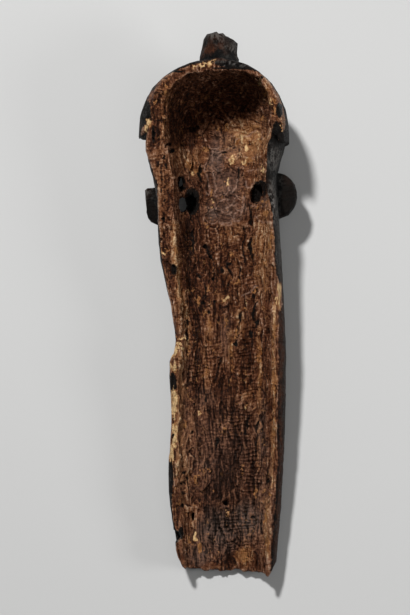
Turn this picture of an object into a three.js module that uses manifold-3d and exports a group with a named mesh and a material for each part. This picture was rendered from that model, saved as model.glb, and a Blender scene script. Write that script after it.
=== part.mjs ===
// A wooden face mask with a long trough-shaped beard, carved from one log.
// Millimetres, +Z up. The mask lies face down, its hollow back open upward, and rests on the
// forehead and the end of the beard. +Y points to the crown and +X to the right, seen from behind.
//
// It is carved in a frame of its own: x across, y up from the beard's end, z = 0 the plane of the
// rim, and the face toward -z. The last step tips that frame until both resting places touch.
import * as THREE from "three";
import { mergeVertices } from "three/addons/utils/BufferGeometryUtils.js";
import Module from "manifold-3d";

// Lengths along the mask, from the beard's end
const crownTop = 671.5;
const hollowTop = 655.5;
const widestHeight = 575;
const faceTop = 624;
const chinHeight = 376;
const mouthHeight = 414;
const noseTipHeight = 449;
const eyeHeight = 487;
const slitHeight = 479;
const browHeight = 510;

// The face: half widths, and how far each form stands out
const eyeAcross = 43;
const lidHalf = 25;
const lidReach = 13;
const lidLift = 8;
const cheekHeight = 450;
const cheekAcross = 38;
const cheekReach = 23;
const cheekLift = 6.5;
const noseHalf = 19;
const noseRootHalf = 7;
const noseLift = 20;
const noseRootLift = 6;
const browHalf = 71;
const mouthHalf = 25;
const lipLift = 6;
const shieldTop = 515;
const earThickness = 24;

// Low relief on the beard
const reliefLift = 2.6;
const reliefBands = [14, 122, 230, 338];
const bandWidth = 8;
const borderWidth = 7;
const teethPerRow = 3;
const toothLength = 43;

// The cap of hair: a dome that stands proud of the face and ends in a point at each temple
const capLeft = 106.5;
const capRight = 92;
const capFront = 92;
const capBackLeft = 67;
const capBackRight = 110;
const capArch = 2.15;
const capSquareness = 2.4;
const capStart = 530;
const leftTemplePoint = 573;
const rightTemplePoint = 560;
const hairlineMiddle = 607;

// The knob on the crown
const knobHeight = 36;
const knobBaseRadius = 27;
const knobRadius = 21.5;
const knobDepth = 44;
const knobLean = 0.1;

// The hollow
const hollowArch = 3.2;
const roofSlant = 1.75;
const hollowSquareness = 2.45;
const openBack = 40;

// Resting places and wood lost from the edges
const restFlat = 1.4;
const endSlope = 4;

// A smooth run of values along the mask through a few knots of [height, value]
function along(knots) {
  const heights = knots.map((knot) => knot[0]);
  const values = knots.map((knot) => knot[1]);
  const run = new THREE.CubicInterpolant(heights, values, 1, new Float64Array(1));
  return (y) => run.evaluate(THREE.MathUtils.clamp(y, heights[0], heights.at(-1)))[0];
}

// Outer half widths at the rim. The left edge is worn back between 296 and 380, and the right
// temple is pared away below the hair.
const rimLeft = along([
  [0, 62], [35, 64], [75, 67.5], [100, 70], [125, 65], [150, 65], [172, 67], [228, 65],
  [279, 67], [291, 59.5], [345, 62.5], [385, 70], [412, 75.5], [450, 77.5], [490, 78],
  [515, 81.5], [540, 88], [564, 93], [590, 84], [faceTop, 60],
]);
const rimRight = along([
  [0, 58], [60, 61], [100, 63.5], [165, 67.5], [230, 70], [290, 72], [345, 73.5], [400, 74],
  [448, 73.5], [490, 73.5], [503, 67.5], [530, 66], [562, 67], [580, 76], [faceTop, 60],
]);

// Outer half widths where the wall is widest, below the rim
const wallLeft = along([
  [0, 64], [35, 67], [75, 71.5], [110, 75], [140, 75], [175, 71], [228, 68.5], [279, 69.5],
  [291, 63], [345, 66], [385, 74], [412, 79.5], [450, 82], [490, 83], [515, 87], [540, 93],
  [564, 96], [590, 88], [faceTop, 64],
]);
const wallRight = along([
  [0, 62], [60, 68.5], [100, 72.5], [165, 77.5], [230, 80.5], [290, 82.5], [350, 81],
  [400, 79.5], [448, 77], [490, 75.5], [526, 76], [540, 81], [565, 87], [590, 82], [faceTop, 64],
]);
const wallWaist = along([[0, 20], [200, 24], [350, 30], [450, 42], [560, 48], [faceTop, 48]]);
const capWaist = along([[capStart, 45], [600, 43], [640, 32], [crownTop, 18]]);

// Depth of the front below the rim plane, and how square its section is
const frontMiddle = along([
  [0, 43.5], [40, 47], [100, 49], [200, 52], [290, 58], [340, 63], [372, 69], [410, 80],
  [448, 86], [487, 96], [512, 113], [535, 128], [560, 134.5], [585, 132], [605, 125],
  [faceTop, 107],
]);
const frontSquareness = along([[0, 4.2], [300, 3.6], [380, 3], [480, 2.6], [555, 2.2], [faceTop, 2.1]]);

// Half widths of the hollow at the rim plane, and how deep it goes
const hollowLeft = along([
  [0, 54.5], [60, 59.5], [110, 60.5], [172, 58.5], [228, 57.5], [279, 56], [300, 52], [345, 51.5],
  [385, 53.5], [430, 54.5], [490, 56], [526, 59], [552, 63.5], [widestHeight, 68],
]);
const hollowRight = along([
  [0, 53.5], [60, 57.5], [100, 60], [165, 64], [230, 66.5], [290, 68.5], [345, 69.5], [400, 69.5],
  [448, 68.5], [490, 67], [503, 63.5], [555, 62.5], [566, 67], [widestHeight, 74],
]);
const hollowDepth = along([
  [0, 31], [60, 34], [100, 36], [200, 39], [290, 45], [340, 51], [380, 58], [420, 67],
  [448, 72], [487, 82], [520, 95], [550, 105], [widestHeight, 109],
]);

// The two halves of a rounded-square section: a number between 0 and 1 for how far across it is
function arch(share, power) {
  return Math.pow(Math.max(0, 1 - Math.pow(Math.min(1, Math.abs(share)), power)), 1 / power);
}

// Depth of the carved front at a place on it
function frontDepth(x, y) {
  const waist = wallWaist(y);
  const half = x < 0 ? wallLeft(y) : wallRight(y);
  return waist + (frontMiddle(y) - waist) * arch(x / half, frontSquareness(y));
}

function capScale(y) {
  return arch(Math.max(0, y - widestHeight) / (crownTop - widestHeight), capArch);
}

// Geometry and solids
const wasm = await Module();
wasm.setup();

function solidOf(geometry) {
  const bare = geometry.clone();
  bare.deleteAttribute("normal");
  bare.deleteAttribute("uv");
  const merged = mergeVertices(bare, 1e-4);
  const mesh = new wasm.Mesh({
    numProp: 3,
    vertProperties: merged.attributes.position.array,
    triVerts: new Uint32Array(merged.index.array),
  });
  return new wasm.Manifold(mesh);
}

// A closed body through rings of points, each end closed by a fan to its middle
function loft(rings) {
  const size = rings[0].length;
  const points = rings.flat();
  const middle = (ring) => ring.reduce((sum, p) => sum.add(p), new THREE.Vector3()).divideScalar(size);
  points.push(middle(rings[0]), middle(rings.at(-1)));
  const firstHub = points.length - 2;
  const lastHub = points.length - 1;
  const lastRing = (rings.length - 1) * size;
  const faces = [];
  for (let i = 0; i < size; i++) {
    const next = (i + 1) % size;
    for (let row = 0; row < lastRing; row += size) {
      faces.push(row + i, row + next, row + size + i);
      faces.push(row + next, row + size + next, row + size + i);
    }
    faces.push(firstHub, next, i);
    faces.push(lastHub, lastRing + i, lastRing + next);
  }
  let volume = 0;
  for (let i = 0; i < faces.length; i += 3) {
    const [a, b, c] = faces.slice(i, i + 3).map((index) => points[index]);
    volume += a.dot(new THREE.Vector3().crossVectors(b, c));
  }
  if (volume < 0) faces.reverse();
  const geometry = new THREE.BufferGeometry().setFromPoints(points);
  geometry.setIndex(faces);
  return solidOf(geometry);
}

// One rounded-square ring across the mask, whose left and right sides may differ
function sectionRing(y, { left, right, front, backLeft, backRight, waist, power }, count) {
  const ring = [];
  for (let i = 0; i < count; i++) {
    const turn = (i / count) * 2 * Math.PI;
    const across = Math.sign(Math.cos(turn)) * Math.pow(Math.abs(Math.cos(turn)), 2 / power);
    const deep = Math.sign(Math.sin(turn)) * Math.pow(Math.abs(Math.sin(turn)), 2 / power);
    const back = across < 0 ? backLeft : backRight;
    const x = across * (across < 0 ? left : right);
    const z = -waist - deep * (deep > 0 ? front : back);
    ring.push(new THREE.Vector3(x, y, z));
  }
  return ring;
}

// How far back a section reaches so that it is as wide as the rim at the rim plane
function backReach(waist, rim, wall, power) {
  const share = Math.pow(1 - Math.pow(Math.min(0.985, rim / wall), power), 1 / power);
  return waist / share;
}

// Face and beard, up to inside the cap
function faceAndBeard() {
  const count = 32;
  const beardStep = 24;
  const faceStep = 12;
  const notch = 279;
  const stations = [];
  for (let y = -beardStep / 2; y < notch - faceStep; y += beardStep) stations.push(y);
  for (let y = notch; y < faceTop - faceStep / 2; y += faceStep) stations.push(y);
  stations.push(faceTop);
  const rings = stations.map((y) => {
    const waist = wallWaist(y);
    const power = frontSquareness(y);
    const shape = {
      left: wallLeft(y),
      right: wallRight(y),
      front: frontMiddle(y) - waist,
      backLeft: backReach(waist, rimLeft(y), wallLeft(y), power),
      backRight: backReach(waist, rimRight(y), wallRight(y), power),
      waist,
      power,
    };
    return sectionRing(y, shape, count);
  });
  return loft(rings);
}

function hairCap() {
  const count = 36;
  const steps = 10;
  const heights = [capStart, (capStart + widestHeight) / 2];
  for (let i = 0; i < steps; i++) {
    const climb = Math.pow(Math.sin(((i / steps) * Math.PI) / 2), 2 / capArch);
    heights.push(widestHeight + (crownTop - widestHeight) * climb);
  }
  heights.push(crownTop - 0.15);
  const rings = heights.map((y) => {
    const size = capScale(y);
    const shape = {
      left: capLeft * size,
      right: capRight * size,
      front: capFront * size,
      backLeft: capBackLeft * size,
      backRight: capBackRight * size,
      waist: capWaist(y),
      power: capSquareness,
    };
    return sectionRing(y, shape, count);
  });
  const belowHair = new THREE.Shape();
  belowHair.moveTo(-140, 500);
  belowHair.lineTo(-140, leftTemplePoint + 4);
  belowHair.lineTo(-capLeft + 6, leftTemplePoint);
  belowHair.quadraticCurveTo(-70, hairlineMiddle - 2, 0, hairlineMiddle);
  belowHair.quadraticCurveTo(64, hairlineMiddle - 2, capRight - 9, rightTemplePoint);
  belowHair.lineTo(140, rightTemplePoint + 6);
  belowHair.lineTo(140, 500);
  const cutter = new THREE.ExtrudeGeometry(belowHair, { depth: 260, bevelEnabled: false, curveSegments: 10 });
  cutter.translate(0, 0, -200);
  return loft(rings).subtract(solidOf(cutter));
}

// A raised band that follows the carved surface along a path of [x, y]
function ridge(path, steps, width, height, depthAt = frontDepth, root = 7) {
  const profile = [[-1, 0], [-0.55, 0.8], [0, 1], [0.55, 0.8], [1, 0]];
  const rings = [];
  for (let i = 0; i <= steps; i++) {
    const t = i / steps;
    const [x, y] = path(t);
    const [x0, y0] = path(Math.max(0, t - 0.01));
    const [x1, y1] = path(Math.min(1, t + 0.01));
    const reach = Math.hypot(x1 - x0, y1 - y0);
    const sideX = -(y1 - y0) / reach;
    const sideY = (x1 - x0) / reach;
    const wide = width(t) / 2;
    const ring = profile.map(([share, lift]) => {
      const px = x + sideX * share * wide;
      const py = y + sideY * share * wide;
      return new THREE.Vector3(px, py, -depthAt(px, py) - height(t) * lift);
    });
    for (const share of [0.9, -0.9]) {
      const px = x + sideX * share * wide;
      const py = y + sideY * share * wide;
      ring.push(new THREE.Vector3(px, py, -depthAt(px, py) + root));
    }
    rings.push(ring);
  }
  return loft(rings);
}

// A raised form between two heights whose half width and lift are given by functions
function mound(low, high, rows, halfWidth, lift, centre = 0, columns = 8, root = 8) {
  const rings = [];
  for (let i = 0; i <= rows; i++) {
    const y = THREE.MathUtils.lerp(low, high, i / rows);
    const ring = [];
    for (let j = 0; j <= columns; j++) {
      const share = (j / columns) * 2 - 1;
      const x = centre + share * halfWidth(y);
      ring.push(new THREE.Vector3(x, y, -frontDepth(x, y) - lift(share, y)));
    }
    for (const share of [1, -1]) {
      const x = centre + share * halfWidth(y);
      ring.push(new THREE.Vector3(x, y, -frontDepth(x, y) + root));
    }
    rings.push(ring);
  }
  return loft(rings);
}

// The face stands on the beard as a shield that narrows to a pointed chin
const shieldHalf = along([
  [chinHeight, 8], [chinHeight + 9, 22], [chinHeight + 30, 36], [430, 50], [455, 61], [490, 68],
  [shieldTop, 70],
]);
const shieldLift = along([
  [chinHeight, 15], [400, 13], [430, 10], [470, 8], [500, 4], [shieldTop, 0],
]);

function faceShield() {
  const lift = (share, y) => shieldLift(y) * (0.75 + 0.25 * arch(share, 2));
  return mound(chinHeight, shieldTop, 13, shieldHalf, lift, 0, 8, 12);
}

function nose() {
  const root = browHeight + 4;
  const half = (y) => THREE.MathUtils.mapLinear(y, noseTipHeight, root, noseHalf, noseRootHalf);
  const rise = (y) => THREE.MathUtils.mapLinear(y, noseTipHeight, root, noseLift, noseRootLift);
  const lift = (share, y) => noseRootLift + rise(y) * Math.pow(1 - Math.abs(share), 0.8);
  return mound(noseTipHeight, root, 6, half, lift, 0, 8, 12);
}

function cheek(side) {
  const fade = (y) => arch((y - cheekHeight) / (cheekReach + 1), 2);
  const half = (y) => (cheekReach + 2) * fade(y);
  const lift = (share, y) => shieldLift(y) + cheekLift * (1 - share * share) * fade(y) * fade(y);
  const low = cheekHeight - cheekReach;
  return mound(low, low + 2 * cheekReach, 7, half, lift, side * cheekAcross, 6, 4);
}

// One brow runs across both eyes and dips to the nose
function brow() {
  const path = (t) => {
    const across = t * 2 - 1;
    const bend = Math.sin(Math.min(1, Math.abs(across) * 1.25) * Math.PI * 0.62);
    return [across * browHalf, browHeight + 17 * bend - 9 * Math.max(0, Math.abs(across) - 0.62) * 2.6];
  };
  const width = (t) => 9 + 7 * Math.sin(Math.PI * t);
  const height = (t) => 3 + 3.5 * Math.sin(Math.PI * t);
  return ridge(path, 18, width, height, frontDepth, 9);
}

// Heavy lids, lowered over a narrow slit
function lid(side) {
  const fade = (y, power) => arch((y - eyeHeight) / (lidReach + 1), power);
  const half = (y) => lidHalf * fade(y, 1.6);
  const lift = (share, y) => shieldLift(y) + lidLift * (1 - share * share) * fade(y, 2);
  return mound(eyeHeight - lidReach, eyeHeight + lidReach, 6, half, lift, side * eyeAcross, 6, 6);
}

function mouth() {
  const lip = (offset, bow) =>
    ridge(
      (t) => {
        const across = t * 2 - 1;
        return [across * mouthHalf, mouthHeight + offset - bow * across * across];
      },
      8,
      (t) => 4 + lipLift * Math.sin(Math.PI * t),
      (t) => shieldLift(mouthHeight) + 1 + lipLift * Math.sin(Math.PI * t),
      frontDepth,
      4,
    );
  return lip(5, 9).add(lip(-6, -0.5));
}

// A border down each side of the beard, cross bands, and rows of triangles
function beardRelief() {
  const low = reliefBands[0] - bandWidth / 2;
  const top = reliefBands.at(-1) + bandWidth / 2;
  const lift = () => reliefLift;
  const edge = (y) => Math.min(wallLeft(y), wallRight(y)) * 0.74;
  let relief = null;
  const join = (solid) => {
    relief = relief ? relief.add(solid) : solid;
  };
  for (const side of [-1, 1]) {
    const path = (t) => {
      const y = THREE.MathUtils.lerp(low, top, t);
      return [side * edge(y), y];
    };
    join(ridge(path, 7, () => borderWidth, lift));
  }
  for (const y of reliefBands) {
    join(ridge((t) => [(t * 2 - 1) * edge(y), y], 4, () => bandWidth, lift));
  }
  const toothRise = (share) => reliefLift * (1.3 - 0.7 * Math.abs(share));
  for (const y of reliefBands.slice(0, -1)) {
    const wide = edge(y + toothLength / 2) * 0.88;
    const foot = y + 3;
    for (let i = 0; i < teethPerRow; i++) {
      const centre = THREE.MathUtils.lerp(-wide, wide, (i + 0.5) / teethPerRow);
      const half = (at) => (wide / teethPerRow) * (1 - (at - foot) / (toothLength + 1)) + 0.6;
      join(mound(foot, foot + toothLength, 1, half, toothRise, centre, 2, 5));
    }
  }
  return relief;
}

// A knob of worn wood with two lobes on top
function knob() {
  const count = 16;
  const start = crownTop - 14;
  const profile = along([
    [start, knobBaseRadius + 3], [crownTop - 3, knobBaseRadius], [crownTop + 5, knobRadius + 3],
    [crownTop + 14, knobRadius + 1.5], [crownTop + 24, knobRadius], [crownTop + 31, knobRadius - 2.5],
    [crownTop + knobHeight - 2, 13],
  ]);
  const rings = [];
  for (const rise of [0, 11, 19, 28, 38, 45, 48]) {
    const y = start + rise;
    const ring = [];
    for (let i = 0; i < count; i++) {
      const turn = (i / count) * 2 * Math.PI;
      const radius = profile(y);
      const lobe = rise > 40 ? -3.4 * Math.cos(turn) - 2.2 * Math.cos(2 * turn) : 0;
      const x = radius * Math.cos(turn) + rise * knobLean;
      ring.push(new THREE.Vector3(x, y + lobe, -knobDepth + radius * 1.05 * Math.sin(turn)));
    }
    rings.push(ring);
  }
  return loft(rings);
}

// The ears are stout flanges beside the eyes, hollowed in front
function ear(outline, pit, back) {
  const round = 2;
  const body = new THREE.ExtrudeGeometry(outline, {
    depth: earThickness - 2 * round,
    bevelThickness: round,
    bevelSize: round,
    bevelOffset: -round,
    bevelSegments: 1,
    curveSegments: 9,
  });
  body.translate(0, 0, -back - earThickness + round);
  const bowl = new THREE.ExtrudeGeometry(pit, { depth: 12, bevelEnabled: false, curveSegments: 8 });
  bowl.translate(0, 0, -back - earThickness - 5);
  return solidOf(body).subtract(solidOf(bowl));
}

function rightEar() {
  const outline = new THREE.Shape();
  outline.moveTo(58, 464);
  outline.absellipse(73.5, 493, 26, 30, -Math.PI / 2, Math.PI / 2, false);
  outline.lineTo(58, 522);
  const pit = new THREE.Shape();
  pit.absellipse(81, 493, 11, 17, 0, 2 * Math.PI, false);
  return ear(outline, pit, 50);
}

function leftEar() {
  const outline = new THREE.Shape();
  outline.moveTo(-62, 508);
  outline.lineTo(-97, 508);
  outline.quadraticCurveTo(-102, 507, -101.5, 500);
  outline.lineTo(-100, 474);
  outline.quadraticCurveTo(-98, 461, -84, 458);
  outline.lineTo(-62, 458);
  const pit = new THREE.Shape();
  pit.absellipse(-87, 483, 9, 15, 0, 2 * Math.PI, false);
  return ear(outline, pit, 49);
}

// The hollow: an open trough in the beard that deepens into the face and closes under the crown
function hollow() {
  const count = 28;
  const stations = [];
  for (let y = -30; y < 290; y += 32) stations.push(y);
  for (let y = 290; y < widestHeight; y += 20) stations.push(y);
  const steps = 10;
  for (let i = 0; i < steps; i++) {
    stations.push(widestHeight + (hollowTop - widestHeight) * Math.sin(((i / steps) * Math.PI) / 2));
  }
  stations.push(hollowTop - 0.1);
  const rings = stations.map((y) => {
    const climb = Math.max(0, y - widestHeight) / (hollowTop - widestHeight);
    const wide = arch(climb, hollowArch);
    const shape = {
      left: hollowLeft(y) * wide,
      right: hollowRight(y) * wide,
      front: hollowDepth(y) * arch(climb, roofSlant),
      backLeft: openBack,
      backRight: openBack,
      waist: 0,
      power: hollowSquareness,
    };
    return sectionRing(y, shape, count);
  });
  return loft(rings);
}

// A hole through or into the wood: outlines of [x, y] at two or more depths
function taperedHole(levels, count = 10) {
  const rings = levels.map(({ depth, x, y, wide, high, power = 2.4 }) => {
    const ring = [];
    for (let i = 0; i < count; i++) {
      const turn = (i / count) * 2 * Math.PI;
      const across = Math.sign(Math.cos(turn)) * Math.pow(Math.abs(Math.cos(turn)), 2 / power);
      const up = Math.sign(Math.sin(turn)) * Math.pow(Math.abs(Math.sin(turn)), 2 / power);
      ring.push(new THREE.Vector3(x + (across * wide) / 2, y + (up * high) / 2, -depth));
    }
    return ring;
  });
  return loft(rings);
}

// The right eye is pierced on a slant. The left eye's outer corner is broken through, the rest of it
// is a pit behind the lid, and the lid has a crack above.
function eyeHoles() {
  const rightEye = taperedHole([
    { depth: 40, x: 47, y: 501, wide: 20, high: 31, power: 4 },
    { depth: 82, x: 45, y: 495, wide: 18, high: 22, power: 4 },
    { depth: 94, x: 43, y: slitHeight + 2, wide: 26, high: 7, power: 2 },
    { depth: 130, x: 43, y: slitHeight, wide: 30, high: 5, power: 2 },
  ]);
  const leftPit = taperedHole([
    { depth: 40, x: -42, y: 487, wide: 20, high: 30 },
    { depth: 86, x: -43, y: 487, wide: 16, high: 22 },
  ]);
  const leftSlit = taperedHole([
    { depth: 94, x: -45, y: slitHeight, wide: 24, high: 3, power: 2 },
    { depth: 130, x: -45, y: slitHeight, wide: 32, high: 5, power: 2 },
  ]);
  const brokenCorner = taperedHole([
    { depth: 35, x: -50.5, y: 484, wide: 14.5, high: 21.5 },
    { depth: 125, x: -61.5, y: 488, wide: 13.5, high: 20 },
  ]);
  const crackedLid = taperedHole([
    { depth: 35, x: -52, y: 512, wide: 9, high: 21 },
    { depth: 80, x: -57, y: 514, wide: 7, high: 18 },
    { depth: 130, x: -62, y: 523, wide: 5, high: 6 },
  ]);
  return rightEye.add(leftPit).add(leftSlit).add(brokenCorner).add(crackedLid);
}

// Worm and nail holes, the bitten left edge and the gap at the left temple
function lostWood() {
  const nailHole = taperedHole([
    { depth: 20, x: -1, y: 94, wide: 6.8, high: 6.8, power: 2 },
    { depth: 43, x: -1, y: 91, wide: 5, high: 5, power: 2 },
  ]);
  const slot = taperedHole([
    { depth: 5, x: -45, y: 75, wide: 5.5, high: 18 },
    { depth: 38, x: -46, y: 73, wide: 3.5, high: 13 },
  ]);
  const edgeBite = taperedHole([
    { depth: -10, x: -65, y: 51, wide: 15, high: 17 },
    { depth: 22, x: -67, y: 50, wide: 12, high: 12 },
  ]);
  const templeGap = taperedHole([
    { depth: 10, x: -62.5, y: 561.5, wide: 3.6, high: 6.8 },
    { depth: 130, x: -75, y: 570, wide: 3.6, high: 6.8 },
  ]);
  return nailHole.add(slot).add(edgeBite).add(templeGap);
}

// All that stands behind the rim: the rim is not quite flat, and dips where it is worn
function aboveRim() {
  const leftDip = along([
    [-30, 2], [20, 0], [120, 0.5], [210, 2.5], [290, 0], [302, 4.5], [350, 3], [400, 0.5],
    [520, 0], [556, 2.5], [600, 0], [700, 0],
  ]);
  const rightDip = along([
    [-30, 1], [60, 0], [230, 1], [335, 0], [357, 3.5], [372, 3], [392, 0.5], [470, 0],
    [502, 3], [530, 6], [560, 4], [574, 0], [700, 0],
  ]);
  const rings = [];
  for (let y = -30; y <= 700; y += 14.6) {
    const left = -leftDip(y);
    const right = -rightDip(y);
    rings.push([
      new THREE.Vector3(-150, y, left),
      new THREE.Vector3(-35, y, left),
      new THREE.Vector3(35, y, right),
      new THREE.Vector3(150, y, right),
      new THREE.Vector3(150, y, 150),
      new THREE.Vector3(-150, y, 150),
    ]);
  }
  return loft(rings);
}

// The beard's end is sawn a little askew, with its corners knocked off
function belowEnd() {
  const rise = Math.tan(THREE.MathUtils.degToRad(endSlope));
  const outline = new THREE.Shape();
  const end = (x) => (59 - x) * rise - 1.5;
  outline.moveTo(-140, -60);
  outline.lineTo(-140, 60);
  outline.lineTo(-67, 30);
  outline.lineTo(-58, end(-58) + 4);
  outline.lineTo(-52, end(-52));
  outline.lineTo(4, end(4) - 1.5);
  outline.lineTo(8, end(8) + 2);
  outline.lineTo(15, end(15) + 1);
  outline.lineTo(18, end(18));
  outline.lineTo(56, end(56));
  outline.lineTo(62, 12);
  outline.lineTo(140, 60);
  outline.lineTo(140, -60);
  const cutter = new THREE.ExtrudeGeometry(outline, { depth: 300, bevelEnabled: false });
  cutter.translate(0, 0, -200);
  return solidOf(cutter);
}

// The tilt, in radians, at which the mask rests: the edge of its lower outline under its middle
function restingTilt(points) {
  const beard = points.filter((p) => p.y < crownTop / 2);
  const head = points.filter((p) => p.y >= crownTop / 2);
  let tilt = 0;
  for (let pass = 0; pass < 12; pass++) {
    const drop = (p) => p.y * Math.sin(tilt) + p.z * Math.cos(tilt);
    const lowest = (set) => set.reduce((a, b) => (drop(b) < drop(a) ? b : a));
    const foot = lowest(beard);
    const forehead = lowest(head);
    tilt = Math.atan2(foot.z - forehead.z, forehead.y - foot.y);
  }
  return tilt;
}

function geometryOf(solid) {
  const mesh = solid.getMesh();
  const geometry = new THREE.BufferGeometry();
  geometry.setAttribute("position", new THREE.BufferAttribute(new Float32Array(mesh.vertProperties), 3));
  geometry.setIndex(new THREE.BufferAttribute(new Uint32Array(mesh.triVerts), 1));
  return geometry;
}

function carve() {
  let wood = faceAndBeard().add(hairCap()).add(knob()).add(rightEar()).add(leftEar());
  wood = wood.add(faceShield()).add(nose()).add(cheek(-1)).add(cheek(1)).add(lid(-1)).add(lid(1));
  wood = wood.add(brow()).add(mouth()).add(beardRelief());
  wood = wood.subtract(hollow()).subtract(eyeHoles()).subtract(lostWood());
  return wood.subtract(aboveRim()).subtract(belowEnd());
}

// Tips the carved wood onto its resting places, trims them flat and centres it over them
function layDown(wood) {
  const geometry = geometryOf(wood);
  const corners = [];
  const position = geometry.getAttribute("position");
  for (let i = 0; i < position.count; i++) corners.push(new THREE.Vector3().fromBufferAttribute(position, i));
  geometry.rotateX(restingTilt(corners));
  geometry.computeBoundingBox();
  const box = geometry.boundingBox;
  const middle = box.getCenter(new THREE.Vector3());
  geometry.translate(-middle.x, -middle.y, -box.min.z - restFlat);
  const ground = new THREE.BoxGeometry(600, 1200, 100);
  ground.translate(0, 0, -50);
  return geometryOf(solidOf(geometry).subtract(solidOf(ground)));
}

const darkWood = new THREE.MeshStandardMaterial({ color: 0x5a3524, roughness: 0.8, metalness: 0 });
const mask = new THREE.Mesh(layDown(carve()), darkWood);
mask.name = "carved_mask";

const part = new THREE.Group();
part.add(mask);

export default part;
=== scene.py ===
# Old carved wooden mask lying face down, seen from its hollow back
import bpy
import math
import numpy as np
from mathutils import Matrix, Vector
from mathutils.bvhtree import BVHTree


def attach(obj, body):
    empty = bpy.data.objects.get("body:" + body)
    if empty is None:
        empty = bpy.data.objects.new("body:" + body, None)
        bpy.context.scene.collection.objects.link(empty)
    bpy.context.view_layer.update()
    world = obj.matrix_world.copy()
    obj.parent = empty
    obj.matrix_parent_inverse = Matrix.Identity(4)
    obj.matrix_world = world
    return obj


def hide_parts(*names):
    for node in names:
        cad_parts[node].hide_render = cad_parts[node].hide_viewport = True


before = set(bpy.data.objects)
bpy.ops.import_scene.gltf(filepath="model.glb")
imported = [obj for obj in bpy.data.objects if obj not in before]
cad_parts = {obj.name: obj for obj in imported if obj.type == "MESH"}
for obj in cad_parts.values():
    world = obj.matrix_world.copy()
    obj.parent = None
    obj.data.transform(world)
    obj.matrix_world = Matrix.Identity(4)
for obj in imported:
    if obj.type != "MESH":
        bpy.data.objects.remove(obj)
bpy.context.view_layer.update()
bpy.ops.object.select_all(action="DESELECT")
scene = bpy.context.scene
scene.view_settings.view_transform = "Standard"

# Camera. The carving's own frame has the rim in its plane, the beard's end at y = 0 and z out of the
# hollow, and it lies on the floor tilted about X.
shot = {
    "tilt": 0.157518,
    "origin": (0.0035, -0.353646, 0.043813),
    "yaw": 6.0,  # degrees towards the right side
    "lean": 0.0245,  # how far the top leans left for each unit up
    "distance": 3.0,
    "frameHeight": 0.7995,  # metres that the picture covers at the rim
    "target": (-0.0197, 0.34775, 0.0),
    "pixel": 1.3,  # mm of rim to one pixel of the 410 x 615 picture
    "pixelAtMiddle": 205,
    "pixelAtBeardEnd": 575,
}
toWorld = Matrix.Translation(shot["origin"]) @ Matrix.Rotation(shot["tilt"], 4, "X")
yaw = math.radians(shot["yaw"])
roll = -math.atan(shot["lean"])
flatRight = Vector((math.cos(yaw), 0, -math.sin(yaw)))
flatUp = Vector((0, 1, 0))
camBack = Vector((math.sin(yaw), 0, math.cos(yaw)))
camRight = math.cos(roll) * flatRight + math.sin(roll) * flatUp
camUp = math.cos(roll) * flatUp - math.sin(roll) * flatRight
eye = Vector(shot["target"]) + shot["distance"] * camBack
camPose = Matrix.Identity(4)
for column, axis in enumerate((camRight, camUp, camBack, eye)):
    camPose.col[column][:3] = axis
cam = bpy.data.objects.new("photoCamera", bpy.data.cameras.new("photoCamera"))
cam.data.sensor_width = 36
cam.data.lens = 36 * shot["distance"] / shot["frameHeight"]
cam.data.clip_end = 30
cam.matrix_world = toWorld @ camPose
scene.collection.objects.link(cam)
scene.camera = cam

# Studio. The key comes from the upper left, so that the hood shades the top of the hollow.
studio = {
    "keyFrom": (-0.66, 1.5, 3.2),
    "keySize": 0.35,
    "keyPower": 140,
    "sideFrom": (2.1, -0.5, 1.35),
    "sideSize": 0.9,
    "sidePower": 19,
    "fillFrom": (0.6, -0.6, 3.0),
    "fillSize": 1.8,
    "fillPower": 8,
    "worldGrey": 0.6,
    "worldStrength": 0.12,
    "floorGrey": (0.5, 0.5, 0.495, 1),
}


def areaLight(name, place, size, power):
    lamp = bpy.data.objects.new(name, bpy.data.lights.new(name, "AREA"))
    lamp.data.shape = "DISK"
    lamp.data.size = size
    lamp.data.energy = power
    lamp.location = place
    aim = Vector((0, 0.05, 0.05)) - lamp.location
    lamp.rotation_euler = aim.to_track_quat("-Z", "Y").to_euler()
    scene.collection.objects.link(lamp)


for lampName in ("key", "side", "fill"):
    areaLight(lampName, studio[lampName + "From"], studio[lampName + "Size"], studio[lampName + "Power"])
world = bpy.data.worlds.new("studioAir")
world.use_nodes = True
air = world.node_tree.nodes["Background"]
air.inputs["Color"].default_value = (studio["worldGrey"],) * 3 + (1,)
air.inputs["Strength"].default_value = studio["worldStrength"]
scene.world = world

bpy.ops.mesh.primitive_plane_add(size=8, location=(0, 0, 0))
floor = bpy.context.object
floor.name = "studioFloor"
paper = bpy.data.materials.new("palePaper")
paper.use_nodes = True
paperShader = paper.node_tree.nodes["Principled BSDF"]
paperShader.inputs["Base Color"].default_value = studio["floorGrey"]
paperShader.inputs["Roughness"].default_value = 0.85
floor.data.materials.append(paper)
print("camera, lights and floor made")

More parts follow.
